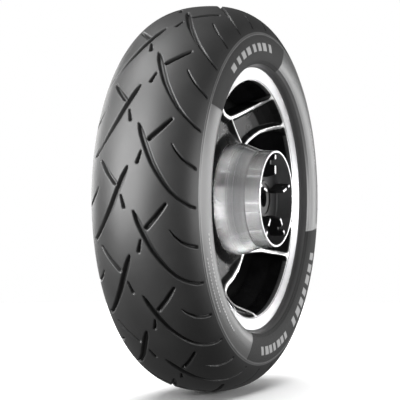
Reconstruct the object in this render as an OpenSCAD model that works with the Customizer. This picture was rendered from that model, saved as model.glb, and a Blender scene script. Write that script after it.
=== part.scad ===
// Rear motorcycle tyre, mounted on its cast wheel, with the wheel's bearings and valve.
// +Y is the spin axis, and -Y is the drive side, where the open hub cup stands out.
// The origin is the wheel's centre, on the spin axis and in the rim's mid plane.

/* [Tyre] */
// Outer radius at the crown
tyre_r = 320; // [310:1:330]
// Half of the section width
tyre_half_w = 94; // [90:1:98]
// Radius at the widest point of the section
widest_r = 242; // [236:1:248]
// Roundness of the crown, 2 is an ellipse
crown_n = 2.34; // [2.1:0.02:2.6]
// Tread rubber thickness at the crown
tread_t = 9.5; // [8:0.5:11]
// Belt thickness
belt_t = 2.2; // [1.5:0.1:3]
// Ply thickness
ply_t = 2.2; // [1.5:0.1:3]
// Inner liner thickness
liner_t = 1.3; // [1:0.1:2]
// Sidewall rubber thickness
wall_t = 4.5; // [3.5:0.5:5.5]

/* [Wheel] */
// Half of the rim's overall width
rim_half_w = 74.5; // [73:0.5:76]
// Outer radius of the rim flange
flange_r = 217; // [216:0.5:218]
// Radius of the bead seat, for a 16 inch rim
seat_r = 203; // [202.5:0.1:203.2]
// Inner radius of the flat machined lip
lip_r = 199; // [197:0.5:200]

/* [Hub] */
// Offset of the cup's open end from the mid plane
cup_end = 112; // [108:1:115]
// Offset of the cup's root from the mid plane
cup_root = 36; // [34:1:38]
// Radius of the cup's root
cup_root_r = 93.7; // [92:0.1:95]
// Radius of the cup's open end
cup_end_r = 79.6; // [78:0.1:81]
// Inner radius of the cup
cup_in_r = 75.5; // [74:0.5:76]
// Offset of the cup's floor from the mid plane
cup_floor = 84; // [82:1:86]
// Number of drive ribs in the cup
ribs = 5; // [5:1:5]
// Offset of the disc face on the other side
disc_face = 62; // [58:1:66]
// Pitch circle diameter of the disc bolt holes
disc_pcd = 82.6; // [80:0.1:86]
// Radius of the disc bolt holes
disc_hole_r = 3.4; // [3:0.1:4]

/* [Bearings] */
// Bore radius of the bearings, for a 25 mm axle
axle_r = 12.5; // [12.5:0.5:12.5]
// Outer radius of the bearings
bearing_r = 26; // [26:0.5:26]
// Width of each bearing
bearing_w = 15; // [15:1:15]
// Ball radius
ball_r = 3.97; // [3.9:0.01:4]
// Balls in each bearing
balls = 9; // [9:1:9]
// Offset of the drive side bearing's inner end from the mid plane
drive_bearing = 70; // [68:1:72]
// Offset of the disc side bearing's inner end from the mid plane
disc_bearing = 43; // [40:1:46]

/* [Valve] */
// Angle of the valve round the wheel, from +X towards +Z
valve_angle = 186; // [170:1:200]
// Offset of the valve towards the disc side
valve_y = 8; // [0:1:14]
// Arc that each row of balance weights covers
weight_arc = 9; // [4:0.5:20]

/* [Hidden] */
$fn = 96;

/* ---- small helpers ---- */
function unit(v) = v / norm(v);
// Corner of an outline rounded with a curve that starts and ends t away from it
function corner(a, b, c, t, n = 5) = t <= 0 ? [b] :
    let (p = b + unit(a - b) * t, q = b + unit(c - b) * t)
    [for (k = [0:n]) let (f = k / n) p * pow(1 - f, 2) + b * 2 * f * (1 - f) + q * pow(f, 2)];
// Closed outline from [x, y, rounding] points
function rounded(p) = let (m = len(p)) [for (i = [0:m - 1])
    each corner([p[(i + m - 1) % m].x, p[(i + m - 1) % m].y], [p[i].x, p[i].y],
        [p[(i + 1) % m].x, p[(i + 1) % m].y], p[i][2])];
// Outline points [offset, radius] turned into a ring about the spin axis. side -1 is the drive side
module ring(points, side = -1) {
    rotate([-90, 0, 0]) rotate_extrude() polygon([for (p = points) [p.y, side * p.x]]);
}
// Plate whose outline is seen along the spin axis, from one offset on the drive side to another
module plate(points, from, to) {
    rotate([90, 0, 0]) translate([0, 0, from]) linear_extrude(to - from) polygon(points);
}
module round_bar(r, from, to) {
    rotate([90, 0, 0]) translate([0, 0, from]) cylinder(r = r, h = to - from);
}
// Puts a child, drawn with +Z pointing away from the spin axis, at an angle round the wheel
module radial(angle, y) { translate([0, y, 0]) rotate([0, 90 - angle, 0]) children(); }

/* ---- tyre section: points are [offset from the mid plane, radius] ---- */
shoulder_steps = 16;
wall_steps = 8;
bead_top = [76, 219.4];
function crown_point(a) = [tyre_half_w * pow(sin(a), 2 / crown_n),
    widest_r + (tyre_r - widest_r) * pow(cos(a), 2 / crown_n)];
function wall_point(a) = [bead_top.x + (tyre_half_w - bead_top.x) * pow(cos(a), 0.8),
    widest_r - (widest_r - bead_top.y) * sin(a)];
// The outside of the section, from the crown's centre to the top of the bead
outside = concat([for (i = [0:shoulder_steps]) crown_point(90 * pow(i / shoulder_steps, 0.9))],
    [for (i = [1:wall_steps]) wall_point(90 * i / wall_steps)]);
widest = shoulder_steps;    // the outside point at the widest part
tread_edge = 12;            // the outside point where tread and sidewall rubber meet
belt_edge = 9;              // the outside point above the belt's edge
function along(i) = i == 0 ? [1, 0] : unit(outside[i + 1] - outside[i - 1]);
function inward(i, d) = outside[i] + d * [along(i).y, -along(i).x];
// Rubber over the ply: thick where the belt is, thinner down the sidewall
cover = tread_t + belt_t;
function cover_t(i) = i <= belt_edge ? cover :
    wall_t + (cover - wall_t) * (widest - i) / (widest - belt_edge);
function layer(first, last, d) = [for (i = [first:last]) inward(i, cover_t(i) + d)];
function skin(first, last) = [for (i = [first:last]) outside[i]];
function back(p) = [for (i = [len(p) - 1:-1:0]) p[i]];
function flip(p) = [for (q = p) [-q.x, q.y]];
function rest(p) = [for (i = [1:len(p) - 1]) p[i]];
// A layer that runs from side to side, from its outer and inner halves, which start at the crown
function strap(outer, inner) = concat(flip(back(rest(outer))), outer, back(inner), flip(rest(inner)));

/* ---- bead: every layer runs down round the core ---- */
core = [[52, 205.5], [60, 205.5], [60, 213.5], [52, 213.5]];
ply_face = [[86.5, 235.5], [80, 230.5], [71, 226.5], [61.5, 221], [54, 215.5]];
ply_back = [[84.6, 236.8], [78.7, 232.3], [69.9, 228.4], [60.2, 222.8], [52.2, 216.9], [49.8, 212.5]];
liner_back = [[83.5, 237.5], [78, 233.4], [69.2, 229.6], [59.4, 223.9], [51.2, 217.7], [48.5, 212.8]];
turn_up_face = [[62, 203.6], [62, 212.8], [63.9, 215], [73.2, 222]];
filler_face = [[62.5, 216.5], [72, 223.5]];
bead_foot = [[74.3, 217.6], [69, 217.3], [65.2, 215.8], [63.2, 212.3], [63.2, 204.8], [61.6, 203.15],
    [44, 203.15]];

module tread_band() {
    color([0.09, 0.09, 0.09]) ring(strap(skin(0, tread_edge),
        concat([for (i = [0:belt_edge]) inward(i, tread_t)], layer(belt_edge, tread_edge, 0))));
}
module belt() {
    color([0.55, 0.56, 0.58]) ring(strap([for (i = [0:belt_edge]) inward(i, tread_t)],
        [for (i = [0:belt_edge]) inward(i, cover)]));
}
module sidewall(side) {
    color([0.12, 0.12, 0.12]) ring(concat(skin(tread_edge, widest + wall_steps), bead_foot,
        [liner_back[5], ply_back[5], [49.8, 203.6]], turn_up_face, [filler_face[1], ply_face[1], ply_face[0]],
        back(layer(tread_edge, widest, 0))), side);
}
module carcass_ply() {
    color([0.75, 0.68, 0.5]) ring(strap(
        concat(layer(0, widest, 0), ply_face, [core[3], core[0], core[1], core[2]], filler_face,
            back(turn_up_face)),
        concat(layer(0, widest, ply_t), ply_back, [[49.8, 203.6]])));
}
module inner_liner() {
    color([0.16, 0.16, 0.17]) ring(strap(concat(layer(0, widest, ply_t), ply_back),
        concat(layer(0, widest, ply_t + liner_t), liner_back)));
}
module bead_core(side) { color([0.6, 0.5, 0.35]) ring(core, side); }
module bead_filler(side) {
    color([0.2, 0.2, 0.2]) ring(concat([core[3]], back(rest(ply_face)), back(filler_face), [core[2]]), side);
}

/* ---- rim ---- */
flange_x = 63.4;
well_out = 181;
rim_outer = [[0, well_out], [21, well_out], [38, 198], [40, 201.5], [43.5, seat_r], [62, seat_r],
    [flange_x, 204.6], [flange_x, 212], [65.2, flange_r - 1.6], [69, flange_r], [rim_half_w - 0.6, flange_r],
    [rim_half_w, flange_r - 0.6]];
rim_inner = [[0, 173], [16, 173], [42, 190], [64, 196.5], [70, 198], [73.9, lip_r], [rim_half_w, lip_r + 0.6]];
module wheel_rim() {
    color([0.06, 0.06, 0.065]) difference() {
        ring(strap(rim_outer, rim_inner));
        radial(valve_angle, valve_y) cylinder(r = valve_hole_r, h = tyre_r);
    }
}

/* ---- spokes: a dished disc, cut through by windows ---- */
hub_r = 86;
cup_seat_r = 97;
function rim_at(x) = lookup(x, rim_inner);
spoke_face = [[cup_root, cup_seat_r], [46, 160], [66, 190], [70, rim_at(70)]];
spoke_back = [[30, rim_at(30)], [16, 160], [4, 130], [-6, hub_r]];
// Outlines are seen from the drive side, as [x, z, rounding]. Every edge band is about 8 mm wide
window_top = rounded([[116, 181, 0], [60, 160, 20], [6, 144, 20], [-29, 136, 14], [-68, 144, 14],
    [-104, 156, 9], [-88, 172, 4], [-98, 196, 0], [0, 222, 0], [98, 196, 0]]);
window_bottom = rounded([[200, -105, 0], [111, -93, 10], [42, -94, 4], [10, -123, 12], [-40, -143, 12],
    [-70, -157, 9], [-48, -171, 10], [10, -187, 2], [14, -215, 0], [110, -196, 0], [186, -140, 0]]);
window_right = rounded([[185, 122, 0], [120, 115, 12], [82, 104, 14], [62, 84, 12], [95, 24, 20],
    [102, -20, 12], [150, -33, 12], [212, -46, 0], [222, 40, 0]]);
window_left_top = rounded([[-150, 160, 0], [-116, 84, 20], [-103, 32, 13], [-110, 4, 8], [-222, -36, 0],
    [-218, 70, 0]]);
window_left_bottom = rounded([[-212, -100, 0], [-110, -62, 8], [-98, -84, 12], [-99, -116, 14],
    [-72, -205, 0], [-160, -190, 0]]);
windows = [window_top, window_bottom, window_right, window_left_top, window_left_bottom];
module spoke_disc() {
    ring(concat([[cup_root, hub_r]], spoke_face, [[64, rim_at(64)], [42, rim_at(42)]], spoke_back));
}
module wheel_spokes() {
    color([0.05, 0.05, 0.055]) difference() {
        spoke_disc();
        for (w = windows) plate(w, -40, 120);
    }
}

/* ---- hub ---- */
barrel_r = 31;
barrel_end = 90;
tunnel_r = 22;
web_t = 16;
web_hole_r = 13;
web_hole_at = 58;
disc_flange_r = 52;
disc_flange_t = 14;
disc_hole_deep = 20;
module hub_core() {
    color([0.07, 0.07, 0.075]) difference() {
        ring([[barrel_end, bearing_r], [barrel_end, barrel_r - 1], [barrel_end - 1, barrel_r],
            [cup_root, barrel_r], [cup_root, hub_r], [-6, hub_r], [-6 + 1, hub_r - 2],
            [cup_root - web_t, hub_r - 14], [cup_root - web_t, 44], [disc_flange_t - disc_face, 38],
            [disc_flange_t - disc_face, disc_flange_r], [-disc_face + 1, disc_flange_r],
            [-disc_face, disc_flange_r - 1], [-disc_face, bearing_r], [-disc_bearing, bearing_r],
            [-disc_bearing, tunnel_r], [drive_bearing, tunnel_r], [drive_bearing, bearing_r]]);
        for (k = [0:ribs - 1]) rotate([0, 72 * k + 36, 0]) translate([0, 0, web_hole_at])
            round_bar(web_hole_r, cup_root - web_t - 60, cup_root + 5);
        for (k = [0:ribs - 1]) rotate([0, 72 * k, 0]) translate([0, 0, disc_pcd / 2])
            round_bar(disc_hole_r, -disc_face - 1, -disc_face + disc_hole_deep);
    }
}
// Turned cup: a tapering drum, a soft step down and a short parallel mouth
cup_outer = [[cup_root, cup_root_r - 1], [cup_root + 1, cup_root_r], [46, cup_root_r - 0.7], [56, 91],
    [65, 88], [73, 84.8], [80, 82], [86, 80.4], [90, cup_end_r + 0.3], [108, cup_end_r],
    [cup_end - 0.8, cup_end_r], [cup_end, cup_end_r - 0.8]];
cup_inner = [[cup_end, cup_in_r + 0.8], [cup_end - 0.8, cup_in_r], [cup_floor + 3, cup_in_r],
    [cup_floor, cup_in_r - 3], [cup_floor, barrel_r], [cup_floor - 6, barrel_r], [cup_floor - 6, 72],
    [cup_floor - 12, 75], [cup_root, 84]];
module hub_cup() { color([0.72, 0.73, 0.75]) ring(concat(cup_outer, cup_inner)); }
rib_top = 110;
rib_gap = [55, 65];
rib_gap_floor = 101;
// Drive ribs: each stands on the cup's floor, with a notch in its top edge
module cup_ribs() {
    color([0.16, 0.16, 0.17]) for (k = [0:ribs - 1]) rotate([0, 72 * k, 0]) translate([2.5, 0, 0])
        rotate([0, -90, 0]) linear_extrude(5) polygon([[36, -cup_floor], [36, -95], [40, -rib_top],
            [rib_gap[0], -rib_top], [rib_gap[0] + 1, -rib_gap_floor], [rib_gap[1] - 1, -rib_gap_floor],
            [rib_gap[1], -rib_top], [72.5, -rib_top], [75.2, -104], [75.2, -cup_floor - 3.6],
            [72.2, -cup_floor]]);
}

/* ---- bearings ---- */
ball_pitch_r = (axle_r + bearing_r) / 2;
race_gap = 0.04;
ring_wall = 4;
seal_t = 3.2;
module torus(radius, tube, y) { translate([0, y, 0]) rotate([90, 0, 0]) rotate_extrude() translate([radius, 0]) circle(tube); }
module tube_at(outer, inner, low, high) { ring([[-low, inner], [-low, outer], [-high, outer], [-high, inner]]); }
module outer_race(y) {
    color("silver") difference() {
        tube_at(bearing_r, bearing_r - ring_wall, y, y + bearing_w);
        torus(ball_pitch_r, ball_r + race_gap, y + bearing_w / 2);
    }
}
module inner_race(y) {
    color("silver") difference() {
        tube_at(axle_r + ring_wall, axle_r, y, y + bearing_w);
        torus(ball_pitch_r, ball_r + race_gap, y + bearing_w / 2);
    }
}
module at_balls(y) {
    for (k = [0:balls - 1]) rotate([0, 360 / balls * k, 0]) translate([0, y + bearing_w / 2, ball_pitch_r]) children();
}
module ball_row(y) { color("gainsboro") at_balls(y) sphere(ball_r); }
module cage(y) {
    color([0.75, 0.6, 0.3]) difference() {
        tube_at(ball_pitch_r + 1, ball_pitch_r - 1, y + 3, y + bearing_w - 3);
        at_balls(y) sphere(ball_r + 0.12);
    }
}
module dust_seal(y) { color([0.1, 0.1, 0.1]) tube_at(bearing_r, axle_r + 1.2, y, y + seal_t); }
module spacer_tube() { color([0.5, 0.5, 0.52]) tube_at(axle_r + 3.2, axle_r, -drive_bearing, disc_bearing); }

/* ---- valve, drawn with +Z pointing away from the spin axis ---- */
valve_hole_r = 4.3;
stem_r = 4;
stem_bore_r = 2.6;
well_in = 173;
stem_low = 139;
module lathe(points) { rotate_extrude() polygon(points); }
module valve_stem() {
    color([0.75, 0.65, 0.35]) radial(valve_angle, valve_y) lathe([[stem_bore_r, stem_low], [stem_r - 0.6, stem_low],
        [stem_r - 0.2, stem_low + 0.5], [stem_r - 0.2, stem_low + 10], [stem_r, stem_low + 10.5],
        [stem_r, well_out + 2.2], [8.2, well_out + 2.2], [8.2, well_out + 4.2], [6.5, well_out + 5.4],
        [stem_bore_r, well_out + 5.4]]);
}
module valve_grommet() {
    color([0.1, 0.1, 0.1]) radial(valve_angle, valve_y) lathe([[stem_r + 0.05, well_out + 0.05],
        [8.4, well_out + 0.05], [8.8, well_out + 1.1], [8.4, well_out + 2.15], [stem_r + 0.05, well_out + 2.15]]);
}
module valve_nut() {
    color("silver") radial(valve_angle, valve_y) difference() {
        translate([0, 0, well_in - 6.4]) cylinder(r = 7, h = 6, $fn = 6);
        translate([0, 0, well_in - 8]) cylinder(r = stem_r + 0.02, h = 10);
    }
}
pin_r = 0.7;
pin_travel = 1.5;
module valve_core() {
    color([0.8, 0.7, 0.4]) radial(valve_angle, valve_y) lathe([[pin_r + 0.05, stem_low + 2.5], [2.2, stem_low + 2.5],
        [2.2, stem_low + 4], [stem_bore_r, stem_low + 5], [stem_bore_r, stem_low + 13],
        [1.8, stem_low + 14.5], [1.8, stem_low + 20], [pin_r + 0.05, stem_low + 20]]);
}
module valve_pin() {
    color("silver") radial(valve_angle, valve_y) lathe([[0, stem_low + 0.6], [pin_r, stem_low + 0.6],
        [pin_r, stem_low + 20.2], [1.9, stem_low + 20.2], [1.9, stem_low + 22.5], [0, stem_low + 24]]);
}
cap_wall_r = 5;
module valve_cap() {
    color([0.08, 0.08, 0.08]) radial(valve_angle, valve_y) difference() {
        lathe([[0, stem_low - 3.5], [cap_wall_r - 0.8, stem_low - 3.5], [cap_wall_r, stem_low - 2.5],
            [cap_wall_r, stem_low + 8.5], [stem_r - 0.15, stem_low + 8.5], [stem_r - 0.15, stem_low - 1.2],
            [0, stem_low - 1.2]]);
        for (k = [0:11]) rotate(30 * k) translate([cap_wall_r + 0.25, 0, stem_low - 2]) cylinder(r = 0.5, h = 14, $fn = 16);
    }
}
module cap_seal() {
    color([0.5, 0.1, 0.08]) radial(valve_angle, valve_y) lathe([[1.5, stem_low - 1.2], [3.7, stem_low - 1.2],
        [3.7, stem_low - 0.1], [1.5, stem_low - 0.1]]);
}
weights = 4;
weight_gap = 1.2;
weight_w = 18;
weight_t = 3.6;
// Stick-on weights in a row inside the well, opposite the valve
function arc(r, from, to, n = 4) = [for (k = [0:n]) let (a = from + (to - from) * k / n) [r * cos(a), r * sin(a)]];
weight_angle = valve_angle + 180;
module balance_weights() {
    color([0.6, 0.61, 0.62]) for (k = [0:weights - 1])
        let (a = weight_angle + (k - (weights - 1) / 2) * weight_arc)
        plate(concat(arc(well_in - 0.1, a - weight_arc / 2 + weight_gap / 2, a + weight_arc / 2 - weight_gap / 2),
            back(arc(well_in - 0.1 - weight_t, a - weight_arc / 2 + weight_gap / 2,
            a + weight_arc / 2 - weight_gap / 2))), -valve_y - weight_w / 2, -valve_y + weight_w / 2);
}

tread_band();
sidewall(-1);  // sidewall_drive
sidewall(1);  // sidewall_disc
belt();
carcass_ply();
inner_liner();
bead_core(-1);  // bead_core_drive
bead_core(1);  // bead_core_disc
bead_filler(-1);  // bead_filler_drive
bead_filler(1);  // bead_filler_disc
wheel_rim();
wheel_spokes();
hub_core();
hub_cup();
cup_ribs();
outer_race(-drive_bearing - bearing_w);  // bearing_drive_outer
inner_race(-drive_bearing - bearing_w);  // bearing_drive_inner
ball_row(-drive_bearing - bearing_w);  // bearing_drive_balls
cage(-drive_bearing - bearing_w);  // bearing_drive_cage
outer_race(disc_bearing);  // bearing_disc_outer
inner_race(disc_bearing);  // bearing_disc_inner
ball_row(disc_bearing);  // bearing_disc_balls
cage(disc_bearing);  // bearing_disc_cage
dust_seal(-drive_bearing - bearing_w - seal_t - 0.3);  // dust_seal_drive
dust_seal(disc_bearing + bearing_w + 0.3);  // dust_seal_disc
spacer_tube();
valve_stem();
valve_grommet();
valve_nut();
valve_core();
valve_pin();
valve_cap();
cap_seal();
balance_weights();
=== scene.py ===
# Looks for the rear motorcycle tyre and wheel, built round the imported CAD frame.
# Lengths in the helpers are in millimetres. s is the distance from the mid plane towards
# the drive side, so a point is (x, -s, z), and angles run from +X towards +Z.
import math
import bpy
import numpy as np
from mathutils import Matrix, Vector


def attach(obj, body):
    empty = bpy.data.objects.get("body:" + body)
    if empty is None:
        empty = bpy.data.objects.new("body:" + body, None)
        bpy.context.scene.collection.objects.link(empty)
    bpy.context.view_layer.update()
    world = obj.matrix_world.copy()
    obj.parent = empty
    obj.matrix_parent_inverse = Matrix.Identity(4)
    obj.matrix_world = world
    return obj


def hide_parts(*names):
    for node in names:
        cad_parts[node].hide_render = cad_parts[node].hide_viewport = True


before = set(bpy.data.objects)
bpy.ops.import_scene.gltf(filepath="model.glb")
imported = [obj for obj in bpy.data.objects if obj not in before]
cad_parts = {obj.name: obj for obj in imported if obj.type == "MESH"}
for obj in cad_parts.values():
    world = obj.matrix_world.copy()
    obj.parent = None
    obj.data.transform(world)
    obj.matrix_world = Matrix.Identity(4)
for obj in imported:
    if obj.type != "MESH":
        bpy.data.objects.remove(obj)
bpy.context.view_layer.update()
MM = 0.001


# ---------------------------------------------------------------- mesh helpers
def make_object(name, points, faces, materials, face_material=None, sharp=35.0, floats=None):
    """Mesh object from points in millimetres. floats is {attribute name: value per point}."""
    mesh = bpy.data.meshes.new(name)
    points = np.asarray(points, np.float64) * MM
    sizes = np.array([len(f) for f in faces], np.int32)
    loops = np.concatenate(faces).astype(np.int32)
    starts = np.concatenate([[0], np.cumsum(sizes)[:-1]]).astype(np.int32)
    mesh.vertices.add(len(points))
    mesh.vertices.foreach_set("co", points.astype(np.float32).ravel())
    mesh.loops.add(len(loops))
    mesh.loops.foreach_set("vertex_index", loops)
    mesh.polygons.add(len(sizes))
    mesh.polygons.foreach_set("loop_start", starts)
    for m in materials:
        mesh.materials.append(m)
    if face_material is not None:
        mesh.polygons.foreach_set("material_index", np.asarray(face_material, np.int32))
    mesh.update(calc_edges=True)
    mesh.validate()
    for key, values in (floats or {}).items():
        attr = mesh.attributes.new(key, "FLOAT", "POINT")
        attr.data.foreach_set("value", np.asarray(values, np.float32))
    mesh.polygons.foreach_set("use_smooth", np.ones(len(mesh.polygons), bool))
    mesh.set_sharp_from_angle(angle=math.radians(sharp))
    obj = bpy.data.objects.new(name, mesh)
    bpy.context.scene.collection.objects.link(obj)
    return obj


def grid_faces(rows, cols, wrap_rows=False, wrap_cols=True):
    """Quads of a rows x cols grid of points, closed in either direction."""
    i = np.arange(rows if wrap_rows else rows - 1)
    j = np.arange(cols if wrap_cols else cols - 1)
    i, j = np.meshgrid(i, j, indexing="ij")
    i2, j2 = (i + 1) % rows, (j + 1) % cols
    return np.stack([i * cols + j, i2 * cols + j, i2 * cols + j2, i * cols + j2], -1).reshape(-1, 4)


def turned(name, profile, materials, segment_material=None, steps=288, sharp=28.0):
    """Closed ring from a profile of (s, r) points, one material index for each segment."""
    profile = np.asarray(profile, float)
    angle = np.linspace(0, 2 * np.pi, steps, endpoint=False)
    s, r = profile[:, 0:1], profile[:, 1:2]
    pts = np.stack([r * np.cos(angle), -s + 0 * angle, r * np.sin(angle)], -1).reshape(-1, 3)
    faces = grid_faces(len(profile), steps, wrap_rows=True)
    per_face = None
    if segment_material is not None:
        per_face = np.repeat(segment_material, steps)
    return make_object(name, pts, faces, materials, per_face, sharp)


def soften(points, size, n=4):
    """Closed outline with every corner rounded. size is one length or one for each corner."""
    points = np.asarray(points, float)
    sizes = np.broadcast_to(size, len(points))
    out = []
    for k, b in enumerate(points):
        a, c = points[k - 1], points[(k + 1) % len(points)]
        u, v = a - b, c - b
        lu, lv = np.hypot(*u), np.hypot(*v)
        t = min(sizes[k], 0.45 * lu, 0.45 * lv)
        if t <= 0:
            out.append(b)
            continue
        p, q = b + u / lu * t, b + v / lv * t
        for f in np.linspace(0, 1, n + 1):
            out.append(p * (1 - f) ** 2 + b * 2 * f * (1 - f) + q * f * f)
    return np.array(out)


def line_distance(x, y, line, ky=1.0):
    """Distance to a polyline of (x, y, half width) points, less the half width. ky scales y."""
    best = np.full(np.shape(x), 1e9)
    for (x0, y0, w0), (x1, y1, w1) in zip(line[:-1], line[1:]):
        dx, dy = x1 - x0, (y1 - y0) * ky
        px, py = x - x0, (y - y0) * ky
        t = np.clip((px * dx + py * dy) / np.maximum(dx * dx + dy * dy, 1e-9), 0, 1)
        best = np.minimum(best, np.hypot(px - t * dx, py - t * dy) - (w0 + (w1 - w0) * t))
    return best


def outline_distance(x, y, poly):
    """Signed distance to a closed outline, negative inside."""
    best = np.full(x.shape, 1e9)
    inside = np.zeros(x.shape, bool)
    for (x0, y0), (x1, y1) in zip(poly, np.roll(poly, -1, 0)):
        dx, dy = x1 - x0, y1 - y0
        t = np.clip(((x - x0) * dx + (y - y0) * dy) / max(dx * dx + dy * dy, 1e-9), 0, 1)
        best = np.minimum(best, np.hypot(x - x0 - t * dx, y - y0 - t * dy))
        if y0 != y1:
            inside ^= ((y0 > y) != (y1 > y)) & (x < x0 + (y - y0) * dx / (y1 - y0))
    return np.where(inside, -best, best)


def smooth_max(a, b, k):
    h = np.clip(0.5 + 0.5 * (a - b) / k, 0, 1)
    return a * h + b * (1 - h) + k * h * (1 - h)


def ramp01(v, low, high):
    t = np.clip((v - low) / (high - low), 0, 1)
    return t * t * (3 - 2 * t)


# ---------------------------------------------------------------- materials
class Nodes:
    """A material with a Principled shader, and short calls to add nodes to it."""

    def __init__(self, name):
        self.material = bpy.data.materials.new(name)
        self.material.use_nodes = True
        self.tree = self.material.node_tree
        self.shader = next(n for n in self.tree.nodes if n.type == "BSDF_PRINCIPLED")

    def put(self, socket, value):
        if isinstance(value, bpy.types.NodeSocket):
            self.tree.links.new(value, socket)
        else:
            socket.default_value = value

    def set(self, **values):
        for key, value in values.items():
            self.put(self.shader.inputs[key.replace("_", " ")], value)

    def add(self, kind, out=0, props=None, **inputs):
        node = self.tree.nodes.new("ShaderNode" + kind)
        for key, value in (props or {}).items():
            setattr(node, key, value)
        for key, value in inputs.items():
            self.put(node.inputs[key.replace("_", " ")], value)
        return node.outputs[out]

    def math(self, op, a, b=0.0):
        node = self.tree.nodes.new("ShaderNodeMath")
        node.operation = op
        self.put(node.inputs[0], a)
        self.put(node.inputs[1], b)
        return node.outputs[0]

    def mix(self, factor, a, b):
        node = self.tree.nodes.new("ShaderNodeMix")
        node.data_type = "RGBA"
        self.put(node.inputs[0], factor)
        self.put(node.inputs[6], a)
        self.put(node.inputs[7], b)
        return node.outputs[2]

    def span(self, value, low, high, to_low, to_high):
        return self.add("MapRange", Value=value, From_Min=low, From_Max=high,
                        To_Min=to_low, To_Max=to_high)

    def where(self):
        return self.add("TexCoord", out=3)

    def noise(self, scale, detail, rough):
        return self.add("TexNoise", Vector=self.where(), Scale=scale, Detail=detail, Roughness=rough)

    def attr(self, name):
        return self.add("Attribute", out=2, props={"attribute_name": name})

    def bump(self, height, strength, distance):
        self.put(self.shader.inputs["Normal"],
                 self.add("Bump", Height=height, Strength=strength, Distance=distance))


def grey(v):
    return (v, v, v, 1)


def around(m):
    """Angle round the spin axis in radians, radius and offset, from the object's own coordinates."""
    parts = m.tree.nodes.new("ShaderNodeSeparateXYZ")
    m.put(parts.inputs[0], m.where())
    x, y, z = parts.outputs
    angle = m.math("ARCTAN2", z, x)
    radius = m.math("SQRT", m.math("ADD", m.math("MULTIPLY", x, x), m.math("MULTIPLY", z, z)))
    return angle, radius, y


def tread_material():
    m = Nodes("tread_rubber")
    cloud = m.noise(9, 4, 0.6)
    fine = m.noise(900, 2, 0.6)
    groove_shade = m.attr("groove_shade")
    base = m.mix(m.span(cloud, 0.3, 0.7, 0, 1), grey(0.018), grey(0.028))
    # Painted shade: the grooves are painted darker, on top of the shade that their walls cast
    base = m.mix(m.math("MULTIPLY", groove_shade, 0.85), base, grey(0.006))
    wear = m.math("ADD", cloud, m.math("MULTIPLY", fine, 0.3))
    m.set(Base_Color=base, Roughness=m.span(wear, 0.4, 0.9, 0.42, 0.54), Specular_IOR_Level=0.5)
    m.bump(m.math("ADD", fine, m.math("MULTIPLY", cloud, 2.0)), 0.25, 0.0003)
    return m.material


# Fine radial lines in a sidewall panel, as waves for each radian
PANEL_LINES = 900.0


def wall_material():
    m = Nodes("sidewall_rubber")
    angle, _, _ = around(m)
    cloud = m.noise(11, 4, 0.6)
    fine = m.noise(1400, 2, 0.6)
    panel, mark = m.attr("panel"), m.attr("mark")
    # The panels are cut with fine radial lines
    lines = m.math("SINE", m.math("MULTIPLY", angle, PANEL_LINES))
    base = m.mix(m.span(cloud, 0.3, 0.7, 0, 1), grey(0.10), grey(0.125))
    base = m.mix(panel, base, grey(0.007))
    base = m.mix(mark, base, grey(0.42))
    rough = m.math("ADD", m.math("ADD", 0.30, m.math("MULTIPLY", cloud, 0.1)),
                   m.math("MULTIPLY", panel, 0.45))
    m.set(Base_Color=base, Roughness=rough, Specular_IOR_Level=0.85)
    cut = m.math("MULTIPLY", m.math("MULTIPLY", lines, panel), 0.9)
    m.bump(m.math("ADD", fine, cut), 0.25, 0.0003)
    return m.material


def plain_material(name, base, rough, metallic=0.0, spec=0.5, scale=60.0, vary=0.15, bump=0.1,
                   grain=700.0):
    """Cloudy variation in colour and roughness with a fine surface grain."""
    m = Nodes(name)
    cloud, fine = m.noise(scale, 4, 0.6), m.noise(grain, 2, 0.5)
    dark = tuple(c * (1 - vary) for c in base) + (1,)
    light = tuple(min(1, c * (1 + vary)) for c in base) + (1,)
    m.set(Base_Color=m.mix(m.span(cloud, 0.3, 0.7, 0, 1), dark, light),
          Roughness=m.span(m.math("ADD", cloud, fine), 0.6, 1.4, rough * 0.85, rough * 1.2),
          Metallic=metallic, Specular_IOR_Level=spec)
    m.bump(fine, bump, 0.0002)
    return m.material


# Tool rings for each metre across a turned surface
TOOL_RINGS = 1500.0


def turned_material(name, base, rough, depth=0.1):
    """Bright metal with fine tool rings round the spin axis: the tone follows radius and offset only."""
    m = Nodes(name)
    _, radius, y = around(m)
    across = m.math("ADD", m.math("MULTIPLY", radius, 0.9), y)
    wave = m.math("SINE", m.math("MULTIPLY", across, TOOL_RINGS * 2 * math.pi))
    line = {"noise_dimensions": "1D"}
    fine = m.add("TexNoise", props=line, W=across, Scale=700.0, Detail=4.0, Roughness=0.7)
    wide = m.add("TexNoise", props=line, W=across, Scale=60.0, Detail=2.0, Roughness=0.5)
    tone = m.math("ADD", m.math("MULTIPLY", fine, 0.6), m.math("MULTIPLY", wide, 0.4))
    dark = tuple(c * 0.88 for c in base) + (1,)
    light = tuple(min(1, c * 1.06) for c in base) + (1,)
    m.set(Base_Color=m.mix(m.span(tone, 0.35, 0.65, 0, 1), dark, light), Metallic=1.0,
          Roughness=m.span(tone, 0.35, 0.65, rough * 0.85, rough * 1.15),
          Anisotropic=0.9, Anisotropic_Rotation=0.25)
    # The tool rings run round the axis, so highlights are drawn out along it
    m.put(m.shader.inputs["Tangent"], m.add("Tangent", props={"direction_type": "RADIAL", "axis": "Y"}))
    m.bump(m.math("ADD", m.math("MULTIPLY", wave, 0.3), fine), depth, 0.00005)
    return m.material


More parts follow.
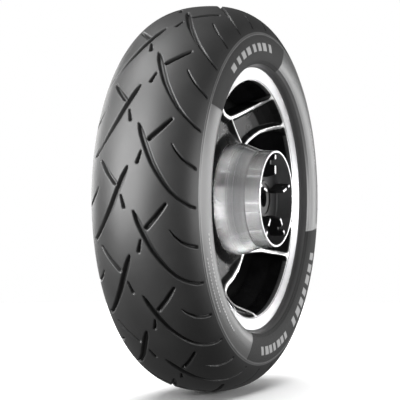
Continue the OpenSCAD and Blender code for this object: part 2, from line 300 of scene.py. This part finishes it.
def casting_material():
    """Gloss black paint, with the machined bands bright where the attribute bright is 1."""
    m = Nodes("cast_wheel")
    _, radius, _ = around(m)
    bright = m.attr("bright")
    cloud, fine = m.noise(40, 4, 0.6), m.noise(1500, 2, 0.5)
    ring = m.math("SINE", m.math("MULTIPLY", radius, 2 * math.pi * 2200.0))
    paint = m.mix(m.span(cloud, 0.3, 0.7, 0, 1), grey(0.006), grey(0.010))
    metal = m.mix(m.span(cloud, 0.35, 0.65, 0, 1), grey(0.62), grey(0.72))
    rough = m.math("ADD", m.math("ADD", 0.24, m.math("MULTIPLY", cloud, 0.08)),
                   m.math("MULTIPLY", bright, 0.10))
    m.set(Base_Color=m.mix(bright, paint, metal), Metallic=bright, Specular_IOR_Level=0.07, Roughness=rough)
    rings = m.math("MULTIPLY", m.math("MULTIPLY", ring, bright), 0.5)
    m.bump(m.math("ADD", m.math("MULTIPLY", fine, 0.5), rings), 0.08, 0.0001)
    return m.material


mat_tread = tread_material()
mat_wall = wall_material()
mat_cast = casting_material()
mat_paint = plain_material("gloss_black_paint", (0.005, 0.005, 0.0053), 0.22, spec=0.08, vary=0.3,
                           bump=0.05)
mat_lip = turned_material("machined_lip", (0.60, 0.60, 0.61), 0.42)
mat_cup = turned_material("turned_cup", (0.60, 0.60, 0.605), 0.24, depth=0.02)
mat_bowl = plain_material("cast_bowl", (0.03, 0.03, 0.031), 0.45, metallic=0.2, vary=0.2, bump=0.35,
                          grain=500)
# Brighter metal painted on the cup's root corner, its mouth's rim and the ribs' tops as a painted highlight,
# where they catch the light
mat_edge_highlight = plain_material("edge_highlight_metal", (0.72, 0.72, 0.73), 0.28, metallic=1.0, vary=0.1)
mat_steel = plain_material("bearing_steel", (0.52, 0.52, 0.53), 0.16, metallic=1.0, bump=0.05)
mat_brass = plain_material("brass", (0.62, 0.47, 0.22), 0.3, metallic=1.0, bump=0.15)
mat_seal = plain_material("seal_rubber", (0.018, 0.018, 0.018), 0.45, bump=0.25)
mat_inner = plain_material("inner_rubber", (0.03, 0.03, 0.03), 0.6, bump=0.3)
mat_plastic = plain_material("cap_plastic", (0.02, 0.02, 0.021), 0.4, bump=0.2)
mat_cord = plain_material("cord_steel", (0.4, 0.39, 0.36), 0.4, metallic=0.9, bump=0.4)
mat_ply = plain_material("ply_cord", (0.5, 0.42, 0.28), 0.8, bump=0.5, grain=900)
mat_zinc = plain_material("weight_metal", (0.45, 0.46, 0.47), 0.4, metallic=0.9, bump=0.3)


# ---------------------------------------------------------------- tyre
TYRE_R, HALF_W, WIDEST_R, CROWN_N = 319.9, 94.0, 242.0, 2.34
BEAD_TOP = (76.0, 219.4)
STEPS = 1440
PITCHES = 15
PITCH = 360.0 / PITCHES
TREAD_DEEP = 6.5
TREAD_THICK = 9.3
WALL_THICK = 4.0
# The disc side's grooves are the drive side's, mirrored about this arc length and half a pitch further on
MIRROR_AT = -2.5
# Angle of the first groove, in degrees
FIRST_GROOVE = 15.2

_t = np.linspace(0, 90, 1801)
_crown_s = HALF_W * np.sin(np.radians(_t)) ** (2 / CROWN_N)
_crown_r = WIDEST_R + (TYRE_R - WIDEST_R) * np.clip(np.cos(np.radians(_t)), 0, 1) ** (2 / CROWN_N)
_crown_a = np.concatenate([[0], np.cumsum(np.hypot(np.diff(_crown_s), np.diff(_crown_r)))])
EDGE_T = 90 * (12 / 16) ** 0.9
TREAD_EDGE = float(np.interp(EDGE_T, _t, _crown_a))


def crown(a):
    """Point (s, r) on the tyre's outside at arc length a from the centre, a may be negative."""
    s = np.interp(np.abs(a), _crown_a, _crown_s) * np.sign(a)
    return s, np.interp(np.abs(a), _crown_a, _crown_r)


# Grooves as (arc length, degrees, half width), for the drive side
LONG = [(3, 0, .9), (6, 1.3, 2.6), (10, 3, 3.8), (20, 7, 3.9), (30, 10.8, 3.7), (40, 13.8, 3.3),
        (50, 16.5, 2.9), (60, 18.8, 2.6), (70, 20.5, 2.4), (80, 21.8, 2.1), (90, 23, 1.9), (100, 23.6, 1.5)]
SLOT = [(23.5, 4.5, 3.3), (38, 1.7, 3.2), (47, -.3, 2.9), (53, -1.7, 2.0)]
DASH = [(7.5, 11, 2.4), (12.5, 7.8, 1.1)]
SHOULDER = [(58, 5.5, .7), (64, 7.2, 1.4), (75, 9.3, 1.8), (85, 10.5, 1.9), (99, 11.7, 2.0)]
GROOVES = [LONG, SLOT, DASH, SHOULDER]


def groove_depth(a, theta):
    """Depth below the tread at arc length a and angle theta, one pitch wide."""
    radius = crown(a)[1]
    k = radius * math.pi / 180
    sd = np.full(a.shape, 1e9)
    for side in (0, 1):
        aa = a if side == 0 else 2 * MIRROR_AT - a
        shift = FIRST_GROOVE + (PITCH / 2 if side else 0)
        for turn in (-2, -1, 0, 1):
            th = theta - shift + turn * PITCH
            for line in GROOVES:
                sd = np.minimum(sd, line_distance(aa, th, line, k))
    deepest = np.interp(np.abs(a), [0, 55, 100, 110], [TREAD_DEEP, TREAD_DEEP, 4.0, 3.5])
    wall = ramp01(-sd, -0.45, 1.0)
    floor = np.clip(-sd / 2.2, 0, 1)
    return deepest * wall * (0.72 + 0.28 * floor), wall


def build_tread():
    a = np.arange(-TREAD_EDGE, TREAD_EDGE + 0.01, 2 * TREAD_EDGE / round(2 * TREAD_EDGE / 1.35))
    cols = STEPS // PITCHES
    theta = np.arange(cols) * PITCH / cols
    A, T = np.meshgrid(a, theta, indexing="ij")
    depth, wall = groove_depth(A, T)
    depth, wall = np.tile(depth, (1, PITCHES)), np.tile(wall, (1, PITCHES))
    s, r = crown(a)
    ds, dr = np.gradient(s), np.gradient(r)
    n = np.hypot(ds, dr)
    ns, nr = -dr / n, ds / n
    full = np.radians(np.arange(STEPS) * 360 / STEPS)
    S = s[:, None] - ns[:, None] * depth
    R = r[:, None] - nr[:, None] * depth
    top = np.stack([R * np.cos(full), -S, R * np.sin(full)], -1)
    keep = np.linspace(0, len(a) - 1, 30).astype(int)[::-1]
    inner_s = (s - ns * TREAD_THICK)[keep][:, None]
    inner_r = (r - nr * TREAD_THICK)[keep][:, None]
    under = np.stack([inner_r * np.cos(full), -inner_s + 0 * full, inner_r * np.sin(full)], -1)
    pts = np.concatenate([top, under]).reshape(-1, 3)
    # The groove mask is kept as an attribute for the painted shade in the grooves
    groove_shade = np.concatenate([wall, np.zeros((len(keep), STEPS))]).ravel()
    faces = grid_faces(len(a) + len(keep), STEPS, wrap_rows=True)
    return make_object("tread", pts, faces, [mat_tread], sharp=75, floats={"groove_shade": groove_shade})


def mark_rows():
    """Sidewall marks, as (low radius, high radius, from degrees, to degrees, slant in degrees)."""
    rows = []

    def row(r0, r1, start, end, step, fill, slant=0.0):
        count = max(1, round((end - start) / step))
        for k in range(count):
            a0 = start + (end - start) * k / count
            rows.append((r0, r1, a0, a0 + step * fill * (0.75 + 0.25 * ((k * 5) % 3) / 2), slant))

    row(243, 256, 84, 128, 5.2, .72, 1.2)
    row(241, 260, 300, 339, 5.6, .74, 1.4)
    row(243, 257, 264, 294, 4.6, .72, 1.2)
    row(283, 286, 44, 56, 1.3, .6)
    row(277, 280, 46, 54, 1.2, .6)
    row(252, 256, 14, 30, 1.5, .6)
    row(258, 264, -12, -8, 4.0, .7)
    row(250, 253, 192, 236, 1.6, .6)
    row(262, 264, 200, 222, 1.3, .6)
    return rows


# Dark panels, as (low radius, high radius, from degrees, to degrees)
PANELS = [(222, 270, 72, 146), (222, 270, 254, 347)]


def wall_relief(r, theta):
    """Height above the plain sidewall, and the masks for panels and marks. theta in degrees."""
    theta = theta % 360
    panel = np.zeros(r.shape)
    for r0, r1, a0, a1 in PANELS:
        mid, half = (a0 + a1) / 2, (a1 - a0) / 2
        d = np.abs((theta - mid + 180) % 360 - 180)
        # The ends are slanted and the corners rounded
        along = (half - d) * r * math.pi / 180 + (r - 246) * 0.35
        sd = -np.minimum(np.minimum(along, r - r0), r1 - r)
        panel = np.maximum(panel, ramp01(-sd, -0.6, 0.6))
    mark = np.zeros(r.shape)
    for r0, r1, a0, a1, slant in mark_rows():
        a0, a1 = a0 % 360, a0 % 360 + (a1 - a0)
        t = (theta - slant * (r - r0) / max(r1 - r0, 1) - a0 + 180) % 360 - 180 + a0
        sd = np.maximum(np.maximum(a0 - t, t - a1) * r * math.pi / 180, np.maximum(r0 - r, r - r1))
        mark = np.maximum(mark, ramp01(-sd, -0.5, 0.5))
    rib = np.exp(-((r - 270.5) / 0.9) ** 2) + 0.7 * np.exp(-((r - 222.8) / 0.8) ** 2) \
        + 0.5 * np.exp(-((r - 227.5) / 0.8) ** 2)
    line = np.zeros(r.shape)
    for c in (5.0, 356.0):
        d = np.abs((theta - c + 180) % 360 - 180) * r * math.pi / 180
        line = np.maximum(line, np.exp(-(d / 0.8) ** 2) * ramp01(r, 243, 246))
    height = 0.7 * rib - 0.35 * panel + 0.5 * mark + 0.5 * line
    return height, panel, mark


# The bead's outline below the visible face, as (s, r)
FOOT = np.array([(74.3, 217.6), (69, 217.3), (65.4, 215.9), (63.5, 212.4), (63.4, 204.9), (61.6, 203.2),
                 (48, 203.2), (48, 203.9), (61, 204.4), (62.4, 213.4), (66, 218.6), (73.4, 223.6),
                 (81, 229.6)])


def build_wall(name, side):
    t = np.linspace(TREAD_EDGE, _crown_a[-1], 28)
    s1, r1 = crown(t)
    q = np.radians(np.linspace(0, 90, 26)[1:])
    s2 = BEAD_TOP[0] + (HALF_W - BEAD_TOP[0]) * np.clip(np.cos(q), 0, 1) ** 0.8
    r2 = WIDEST_R - (WIDEST_R - BEAD_TOP[1]) * np.sin(q)
    s, r = np.concatenate([s1, s2]), np.concatenate([r1, r2])
    # Even steps along the visible face
    arc = np.concatenate([[0], np.cumsum(np.hypot(np.diff(s), np.diff(r)))])
    even = np.linspace(0, arc[-1], 64)
    s, r = np.interp(even, arc, s), np.interp(even, arc, r)
    ds, dr = np.gradient(s), np.gradient(r)
    n = np.hypot(ds, dr)
    ns, nr = -dr / n, ds / n
    back = np.stack([s - ns * WALL_THICK, r - nr * WALL_THICK], -1)[:38:6][::-1]
    full = np.radians(np.arange(STEPS) * 360 / STEPS)
    deg = np.arange(STEPS) * 360 / STEPS
    R, D = np.meshgrid(r, deg, indexing="ij")
    height, panel, mark = wall_relief(R, D)
    # No relief at the two edges of the face
    fade = ramp01(np.minimum(even, even[-1] - even), 0.5, 3.0)[:, None]
    height = height * fade
    # The widest part stays inside the section's width
    S = np.minimum(s[:, None] + ns[:, None] * height, HALF_W)
    R = r[:, None] + nr[:, None] * height
    face = np.stack([R * np.cos(full), side * S, R * np.sin(full)], -1)
    rest = np.concatenate([FOOT, back])
    rest_s, rest_r = rest[:, 0:1], rest[:, 1:2]
    more = np.stack([rest_r * np.cos(full), side * rest_s + 0 * full, rest_r * np.sin(full)], -1)
    pts = np.concatenate([face, more]).reshape(-1, 3)
    zero = np.zeros((len(rest), STEPS))
    faces = grid_faces(len(r) + len(rest), STEPS, wrap_rows=True)
    if side > 0:
        faces = faces[:, ::-1]
    return make_object(name, pts, faces, [mat_wall], sharp=60,
                       floats={"panel": np.concatenate([panel * fade, zero]).ravel(),
                               "mark": np.concatenate([mark * fade, zero]).ravel()})


tread = build_tread()
wall_drive = build_wall("sidewall_drive_skin", -1)
wall_disc = build_wall("sidewall_disc_skin", 1)


# ---------------------------------------------------------------- rim
# Half profiles from the mid plane to the lip, as (s, r)
RIM_OUT = [(0, 181), (21, 181), (38, 198), (40, 201.5), (43.5, 203), (62, 203), (63.4, 204.6), (63.4, 212),
           (65.2, 215.4), (69, 217), (73.7, 217), (74.5, 216.2)]
RIM_IN = [(0, 173), (16, 173), (42, 190), (64, 196.5), (69.5, 197), (71.6, 198), (74.3, 215.0)]


def build_rim():
    outer = [(-s, r) for s, r in RIM_OUT[:0:-1]] + list(RIM_OUT)
    inner = list(RIM_IN[::-1]) + [(-s, r) for s, r in RIM_IN[1:]]
    profile = soften(outer + inner, [0.5 if abs(s) > 72 else 2.5 for s, r in outer + inner], n=4)
    mid = (profile + np.roll(profile, -1, 0)) / 2
    bright = (np.abs(mid[:, 0]) > 71.0) & (mid[:, 1] > 197.4)
    return turned("rim_shell", profile, [mat_paint, mat_lip], bright.astype(int), steps=360)


rim = build_rim()

# ---------------------------------------------------------------- spokes
HUB_R, RIM_R, WINDOW_R = 86.5, 198.6, 196.0
# Windows between the spokes, as (x, z, corner size)
WINDOWS = [soften([p[:2] for p in w], [p[2] for p in w], 6) for w in (
    [(116, 181, 0), (60, 160, 20), (6, 144, 20), (-29, 136, 14), (-68, 144, 14), (-104, 156, 9),
     (-88, 172, 4), (-98, 196, 0), (0, 222, 0), (98, 196, 0)],
    [(200, -105, 0), (111, -93, 10), (42, -94, 4), (10, -123, 12), (-40, -143, 12), (-70, -157, 9),
     (-48, -171, 10), (10, -187, 2), (14, -215, 0), (110, -196, 0), (186, -140, 0)],
    [(185, 122, 0), (120, 115, 12), (82, 104, 14), (62, 84, 12), (95, 24, 20), (102, -20, 12), (150, -33, 12),
     (212, -46, 0), (222, 40, 0)],
    [(-150, 160, 0), (-116, 84, 20), (-103, 32, 13), (-110, 4, 8), (-222, -36, 0), (-218, 70, 0)],
    [(-212, -100, 0), (-110, -62, 8), (-98, -84, 12), (-99, -116, 14), (-72, -205, 0), (-160, -190, 0)])]
# Machined bands along the spokes' edges, as (x, z, half width)
BANDS = [[(x, z, w) for x, z in line] for w, line in (
    (2.6, [(93, 174), (77, 163.5), (61, 155.5), (34, 147), (4, 139), (-20, 134), (-31, 132.5), (-53, 136),
           (-73, 141.5), (-96, 149)]),
    (1.2, [(-21, 131), (-4, 119), (17, 105), (32, 95)]),
    (2.6, [(149, 130), (143, 125), (131, 123), (119, 120), (99, 115), (80, 108), (60, 99), (47, 90)]),
    (2.8, [(172, -99), (151, -94), (136, -92), (111, -88.5), (70, -88.5), (44, -90)]),
    (3.3, [(41, -91), (30, -105), (9, -118.5), (-17, -131), (-43, -139), (-60, -145), (-70, -151),
           (-75, -157), (-72, -162)]),
    (1.5, [(-69, -164), (-58, -171), (-39, -176.5), (-14, -182.5), (2, -187.5), (14, -193)]),
    (2.6, [(107, -24), (150, -37.5), (192, -47)]),
    (2.6, [(-98, 32), (-99, 15), (-108, -1), (-190, -30)]),
    (2.6, [(-174, -82), (-109, -57), (-97, -66)]),
    (2.6, [(-93, -86), (-94, -116), (-76, -176)]),
    (2.6, [(-121, 84), (-111, 84), (-124, 108), (-142, 148)]))]
# Offset s of the front face and of the back face at each radius
FACE_R = [86, 97, 130, 150, 165, 178, 190, 199]
FACE_S = [36, 36.4, 41, 44, 49, 57, 67, 71.4]
BACK_R = [86, 130, 160, 182, 190, 196.5, 199]
BACK_S = [-6, 4, 16, 30, 42, 63, 66]
POCKET = 8.0


def build_spokes(step=1.25):
    line = np.arange(-200, 200 + step / 2, step)
    X, Z = np.meshgrid(line, line, indexing="ij")
    R = np.hypot(X, Z)
    solid = np.minimum(R - HUB_R, RIM_R - R)
    for w in WINDOWS:
        # Each window stops short of the lip, with rounded outer corners
        solid = np.minimum(solid, smooth_max(outline_distance(X, Z, w), R - WINDOW_R, 12.0))
    tiny = 0.12 * step
    solid = np.where(np.abs(solid) < tiny, np.where(solid >= 0, tiny, -tiny), solid)
    inside = solid > 0
    index = np.full(X.shape, -1)
    index[inside] = np.arange(inside.sum())
    xy = [np.stack([X[inside], Z[inside]], -1)]
    count = int(inside.sum())

    def crossings(a_in, b_in, a_v, b_v, ax, az, bx, bz):
        nonlocal count
        cross = a_in != b_in
        f = a_v[cross] / (a_v[cross] - b_v[cross])
        xy.append(np.stack([ax[cross] + f * (bx[cross] - ax[cross]),
                            az[cross] + f * (bz[cross] - az[cross])], -1))
        out = np.full(a_in.shape, -1)
        out[cross] = np.arange(count, count + cross.sum())
        count += int(cross.sum())
        return out

    on_x = crossings(inside[:-1], inside[1:], solid[:-1], solid[1:], X[:-1], Z[:-1], X[1:], Z[1:])
    on_z = crossings(inside[:, :-1], inside[:, 1:], solid[:, :-1], solid[:, 1:],
                     X[:, :-1], Z[:, :-1], X[:, 1:], Z[:, 1:])
    cells = inside[:-1, :-1].astype(int) + inside[1:, :-1] + inside[1:, 1:] + inside[:-1, 1:]
    i, j = np.nonzero(cells == 4)
    quads = np.stack([index[i, j], index[i + 1, j], index[i + 1, j + 1], index[i, j + 1]], -1)
    faces = [list(q) for q in quads]
    rims = []
    for i, j in zip(*np.nonzero((cells > 0) & (cells < 4))):
        corners = [(i, j), (i + 1, j), (i + 1, j + 1), (i, j + 1)]
        edges = [on_x[i, j], on_z[i + 1, j], on_x[i, j + 1], on_z[i, j]]
        loop, pairs = [], []
        for k in range(4):
            if inside[corners[k]]:
                loop.append(index[corners[k]])
            if edges[k] >= 0:
                loop.append(edges[k])
        # Neighbouring crossing points form the cut edge
        for k, v in enumerate(loop):
            w = loop[(k + 1) % len(loop)]
            if v >= inside.sum() and w >= inside.sum():
                out_k = [e for e in range(4) if edges[e] == v][0]
                if not inside[corners[(out_k + 1) % 4]]:
                    pairs.append((v, w))
        faces.append(loop)
        rims += pairs
    xy = np.concatenate(xy)
    x, z = xy[:, 0], xy[:, 1]
    r = np.hypot(x, z)
    band = np.full(x.shape, 1e9)
    for b in BANDS:
        band = np.minimum(band, line_distance(x, z, b))
    # Smooth union of the bands and the lip gives the rounded corners where they meet
    both = -smooth_max(-band, r - WINDOW_R, 7.0)
    bright = 1 - ramp01(both, -0.45, 0.45)
    drop = np.clip(np.maximum(both, 0) * 1.25, 0, POCKET)
    # The hub's root stays level with the cup's edge
    drop *= ramp01(r, 92, 112)
    front = np.interp(r, FACE_R, FACE_S) - drop
    back = np.interp(r, BACK_R, BACK_S)
    back = np.minimum(back, front - 3)
    top = np.stack([x, -front, z], -1)
    low = np.stack([x, -back, z], -1)
    n = len(xy)
    pts = np.concatenate([top, low])
    every = [f[::-1] for f in faces] + [[v + n for v in f] for f in faces]
    every += [[a, b, b + n, a + n] for a, b in rims]
    flat = np.concatenate([bright, np.zeros(n)])
    return make_object("spokes_cast", pts, every, [mat_cast], sharp=50, floats={"bright": flat})


spokes = build_spokes()

# ---------------------------------------------------------------- hub cup and its ribs
# The cup's profile, as (s, r)
CUP = [(36, 92.7), (37, 93.7), (46, 93), (56, 91), (65, 88), (73, 84.8), (80, 82.4), (85, 81), (86.4, 79.9),
       (108, 79.6), (111.2, 79.6), (112, 78.8), (112, 76.3), (111.2, 75.5), (87, 75.5), (84, 72.5), (84, 31),
       (78, 31), (78, 72), (72, 75), (36, 84)]


def build_cup():
    sizes = [0.6, 0.6, 4, 4, 4, 4, 3, 0.3, 0.3, 2, 0.5, 0.5, 0.5, 0.5, 1.5, 1.5, 1, 1, 2, 2, 1]
    profile = soften(CUP, sizes, n=5)
    mid = (profile + np.roll(profile, -1, 0)) / 2
    dark = (mid[:, 1] < 75.4) | (mid[:, 0] < 36.5)
    dark |= (mid[:, 1] < 75.6) & (mid[:, 0] < 110.6)
    # The root's corner and the mouth's rim catch the light
    edge = ((mid[:, 0] < 37.4) & (mid[:, 1] > 92.5)) | ((mid[:, 0] > 111.0) & (mid[:, 1] > 75.8))
    return turned("cup_turned", profile, [mat_cup, mat_bowl, mat_edge_highlight], np.where(edge, 2, dark.astype(int)),
                  steps=360, sharp=24)


# One rib's outline, as (r, s)
RIB = [(36, 84.2), (36, 95), (40, 110), (55, 110), (56, 101), (64, 101), (65, 110), (72.5, 110), (75.1, 104),
       (75.1, 87.7), (72.3, 84.2)]


def build_ribs():
    """Five notched ribs, one object, each with softened edges."""
    outline = soften(RIB, [0.5, 1.5, 2, 1.2, 1.2, 1.2, 1.2, 1.2, 1.5, 1, 0.5], n=3)
    centre = outline.mean(0)
    pts, faces, mats = [], [], []
    for k in range(5):
        angle = math.radians(90 + 72 * k)
        ur = np.array([math.cos(angle), math.sin(angle)])
        ut = np.array([-math.sin(angle), math.cos(angle)])
        start = len(pts)
        layers = [(-2.5, 0.7), (-1.9, 0.0), (1.9, 0.0), (2.5, 0.7)]
        for across, inset in layers:
            for r, s in outline:
                shrink = 1 - inset / max(8.0, math.hypot(r - centre[0], s - centre[1]))
                rr = centre[0] + (r - centre[0]) * shrink
                ss = centre[1] + (s - centre[1]) * shrink
                xz = ur * rr + ut * across
                pts.append((xz[0], -ss, xz[1]))
        m = len(outline)
        for layer in range(3):
            for q in range(m):
                a, b = start + layer * m + q, start + layer * m + (q + 1) % m
                faces.append([a, b, b + m, a + m])
                # The top faces take the brighter edge metal, a painted highlight
                s_mid = (outline[q][1] + outline[(q + 1) % m][1]) / 2
                mats.append(1 if s_mid > 109.2 else 0)
        faces.append([start + q for q in range(m)][::-1])
        mats.append(0)
        faces.append([start + 3 * m + q for q in range(m)])
        mats.append(0)
    return make_object("cup_ribs_cast", pts, faces, [mat_bowl, mat_edge_highlight], mats, sharp=40)


cup = build_cup()
ribs = build_ribs()

# ---------------------------------------------------------------- riding and materials of CAD nodes
for piece, node, slot in ((tread, "tread_band", "tyre_rubber"), (wall_drive, "sidewall_drive", "tyre_rubber"),
                          (wall_disc, "sidewall_disc", "tyre_rubber"), (rim, "wheel_rim", "wheel_casting"),
                          (spokes, "wheel_spokes", "wheel_casting"), (cup, "hub_cup", "turned_alloy"),
                          (ribs, "cup_ribs", "hub_ribs")):
    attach(piece, "wheel")
    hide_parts(node)

KEPT = {
    "belt": mat_cord, "carcass_ply": mat_ply, "inner_liner": mat_inner, "bead_core_drive": mat_cord,
    "bead_core_disc": mat_cord, "bead_filler_drive": mat_inner, "bead_filler_disc": mat_inner,
    "hub_core": mat_paint, "bearing_drive_outer": mat_steel, "bearing_drive_inner": mat_steel,
    "bearing_drive_balls": mat_steel, "bearing_drive_cage": mat_brass, "bearing_disc_outer": mat_steel,
    "bearing_disc_inner": mat_steel, "bearing_disc_balls": mat_steel, "bearing_disc_cage": mat_brass,
    "dust_seal_drive": mat_seal, "dust_seal_disc": mat_seal, "spacer_tube": mat_steel,
    "valve_stem": mat_brass, "valve_grommet": mat_seal, "valve_nut": mat_steel, "valve_core": mat_brass,
    "valve_pin": mat_steel,
    "valve_cap": mat_plastic, "cap_seal": mat_seal, "balance_weights": mat_zinc}
for node, material in KEPT.items():
    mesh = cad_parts[node].data
    mesh.materials.clear()
    mesh.materials.append(material)

# ---------------------------------------------------------------- floor, light, camera
FLOOR_RADIUS, FLOOR_GAP = 2.2, 0.0005
bpy.ops.mesh.primitive_circle_add(vertices=96, radius=FLOOR_RADIUS, fill_type="NGON",
                                  location=(0, 0, -TYRE_R * MM - FLOOR_GAP))
floor = bpy.context.object
floor.name = "floor"
paper = plain_material("floor_paper", (0.9, 0.9, 0.9), 0.9, vary=0.01, bump=0.02, scale=2.0)
floor.data.materials.append(paper)
# The floor is left out of reflections and of bounced light
floor.visible_diffuse = floor.visible_glossy = False

# The background is white, and the light that comes from it is weak
world = bpy.data.worlds.new("studio")
bpy.context.scene.world = world
world.use_nodes = True
sky = world.node_tree
white = sky.nodes["Background"]
white.inputs[0].default_value = (1, 1, 1, 1)
white.inputs[1].default_value = 1.0
dim = sky.nodes.new("ShaderNodeBackground")
dim.inputs[0].default_value = (1, 1, 1, 1)
dim.inputs[1].default_value = 0.15
choice = sky.nodes.new("ShaderNodeMixShader")
path = sky.nodes.new("ShaderNodeLightPath")
sky.links.new(path.outputs["Is Camera Ray"], choice.inputs[0])
sky.links.new(dim.outputs[0], choice.inputs[1])
sky.links.new(white.outputs[0], choice.inputs[2])
sky.links.new(choice.outputs[0], sky.nodes["World Output"].inputs[0])


def softbox(name, place, aim, width, height, radiance, only=None, shadow=True):
    """Rectangular area light. only lists the objects that it lights, and shadow False lets it through all."""
    light = bpy.data.lights.new(name, "AREA")
    light.shape, light.size, light.size_y = "RECTANGLE", width, height
    light.energy = radiance * math.pi * width * height
    obj = bpy.data.objects.new(name, light)
    obj.location = place
    obj.visible_camera = False
    obj.rotation_euler = (Vector(aim) - Vector(place)).to_track_quat("-Z", "Y").to_euler()
    bpy.context.scene.collection.objects.link(obj)
    if only:
        group = bpy.data.collections.new(name + "_lit")
        for o in only:
            group.objects.link(o)
        obj.light_linking.receiver_collection = group
    light.use_shadow = light.cycles.use_multiple_importance_sampling = shadow
    return obj


softbox("box_right", (1.75, -1.25, 0.0), (0, 0, 0), 1.8, 0.8, 3.0)
softbox("box_front", (0.35, -2.4, 0.1), (0, 0, 0), 1.9, 0.9, 7.5)
softbox("box_left", (-0.9, 2.6, 1.5), (-0.2, 0, 0.1), 1.0, 2.4, 3.0)
softbox("box_tall", (-2.1, 1.15, 0.5), (-0.3, 0, 0.05), 0.8, 3.2, 27.0, only=[tread])
softbox("box_top", (-0.5, 1.1, 2.3), (-0.1, 0, 0.3), 1.2, 0.8, 12.0, only=[tread])
softbox("box_lip", (2.0, -0.83, 0.0), (0.1, -0.07, 0), 1.1, 1.1, 0.9, only=[rim, spokes], shadow=False)
softbox("box_back", (0.9, 2.3, 0.4), (0, 0, 0), 1.8, 1.4, 4.5)
softbox("box_floor", (0.3, 0.3, 3.0), (0.3, 0.3, 0), 4.0, 4.0, 5.0, only=[floor])
# Lamps round the spin axis, long in its direction, as (rise in degrees, radiance, width): the first four
# are wide and shade the turned cup, and the narrow ones draw the bright lines along it
LAMPS = ((90, 0.07, 1.3), (40, 0.13, 1.3), (-10, 0.18, 1.2), (-70, 0.4, 1.3),
         (92, 6, 0.04), (63, 6, 0.04), (-8, 12, 0.04), (-35, 11, 0.04), (-107, 8, 0.04), (-134, 6, 0.04))
LAMP_REACH, LAMP_Y, LAMP_LONG = 1.45, 0.1, 1.8
for k, (rise, power, wide) in enumerate(LAMPS):
    e = math.radians(rise)
    place = (-LAMP_REACH * math.cos(e), LAMP_Y, LAMP_REACH * math.sin(e))
    softbox("lamp_%d" % k, place, (0, LAMP_Y, 0), wide, LAMP_LONG, power, only=[cup], shadow=False)

CAMERA_AT = (-2.382, -0.991, 0.0)
LOOK = Vector((0.9233, 0.384, 0.0))
camera_data = bpy.data.cameras.new("camera")
camera_data.lens, camera_data.sensor_width = 138.9, 36.0
camera_data.shift_x, camera_data.shift_y = -0.0355, -0.003
camera = bpy.data.objects.new("camera", camera_data)
camera.location = CAMERA_AT
camera.rotation_euler = LOOK.to_track_quat("-Z", "Y").to_euler()
bpy.context.scene.collection.objects.link(camera)
bpy.context.scene.camera = camera
bpy.context.scene.view_settings.view_transform = "Standard"
bpy.context.scene.view_settings.look = "None"


bpy.context.view_layer.update()
